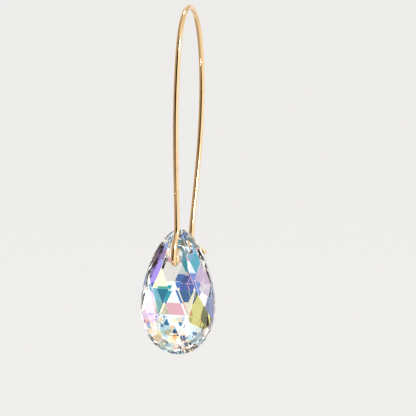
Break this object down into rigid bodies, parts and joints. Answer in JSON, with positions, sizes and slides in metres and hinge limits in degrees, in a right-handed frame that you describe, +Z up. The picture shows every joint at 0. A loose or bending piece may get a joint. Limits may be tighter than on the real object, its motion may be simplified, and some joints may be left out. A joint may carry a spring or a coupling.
{
  "type": "teardrop earring",
  "caption": "Drop earring: a facetted clear glass pear hangs from a long kidney ear wire that closes in a catch hook behind the drop.",
  "frame": {"origin": "underside of the top of the bow, where the wire hangs in the ear lobe", "axes": "+Z up, the drop faces -Y, the wire's loop lies in the YZ plane with its back leg on the +Y side"},
  "size_m": [0.0098, 0.0145, 0.0453],
  "materials": {
    "gold_wire": "polished gold",
    "cut_glass": "polished facets with an iridescent coat"
  },
  "bodies": {
    "wire": {"ear_wire": "gold_wire"},
    "drop": {"crystal_drop": "cut_glass"}
  },
  "joints": [
    {"name": "drop_swing", "type": "hinge", "parent": "wire", "child": "drop", "pos_m": [-0.0002, -0.0012, -0.03086], "axis": [0, 1, 0], "range_deg": [-125, 125]}
  ]
}
